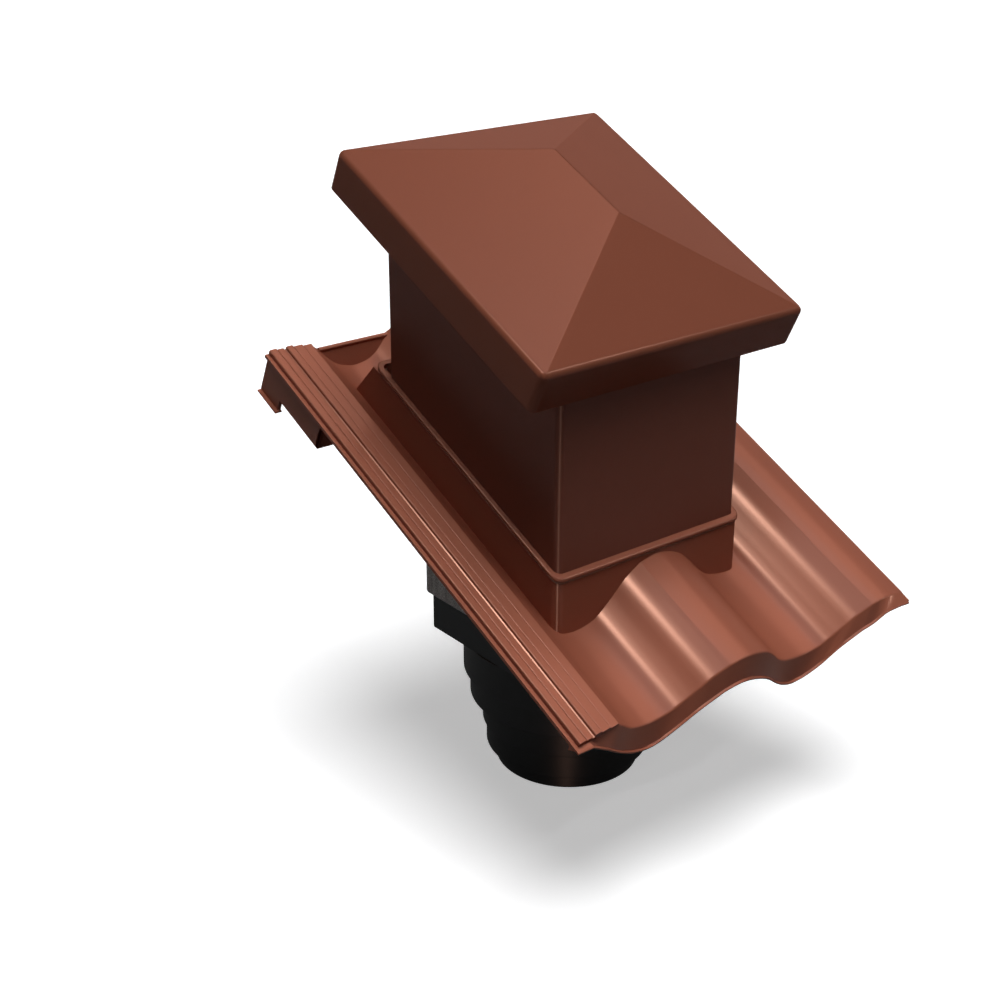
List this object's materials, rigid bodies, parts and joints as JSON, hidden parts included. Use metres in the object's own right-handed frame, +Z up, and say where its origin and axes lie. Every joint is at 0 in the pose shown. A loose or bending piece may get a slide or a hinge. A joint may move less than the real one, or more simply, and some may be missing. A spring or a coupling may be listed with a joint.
{
  "type": "roof tile vent",
  "caption": "Double-roll plastic roof tile with a hollow saddle, an upright box under a hipped cap, and a black stepped duct spigot with a foam seal below.",
  "frame": {"origin": "centre of the lower end of the duct spigot", "axes": "+Z up along the spigot, +Y up the slope of the roof, +X across the roof to the right; the roof plane is pitched 25 degrees about X"},
  "size_m": [0.315, 0.3782, 0.4642],
  "materials": {
    "terracotta_plastic": "satin, fine moulded grain",
    "black_plastic": "satin",
    "grey_foam": "matt, streaked open-cell skin",
    "screw_steel": "zinc plated"
  },
  "bodies": {
    "root": {"tile_pan": "terracotta_plastic", "box_housing": "terracotta_plastic", "cap_hood": "terracotta_plastic", "outlet_grille": "terracotta_plastic", "spigot_adapter": "black_plastic", "foam_seal": "grey_foam", "adapter_screws": "screw_steel", "cap_screws": "screw_steel"}
  },
  "joints": []
}
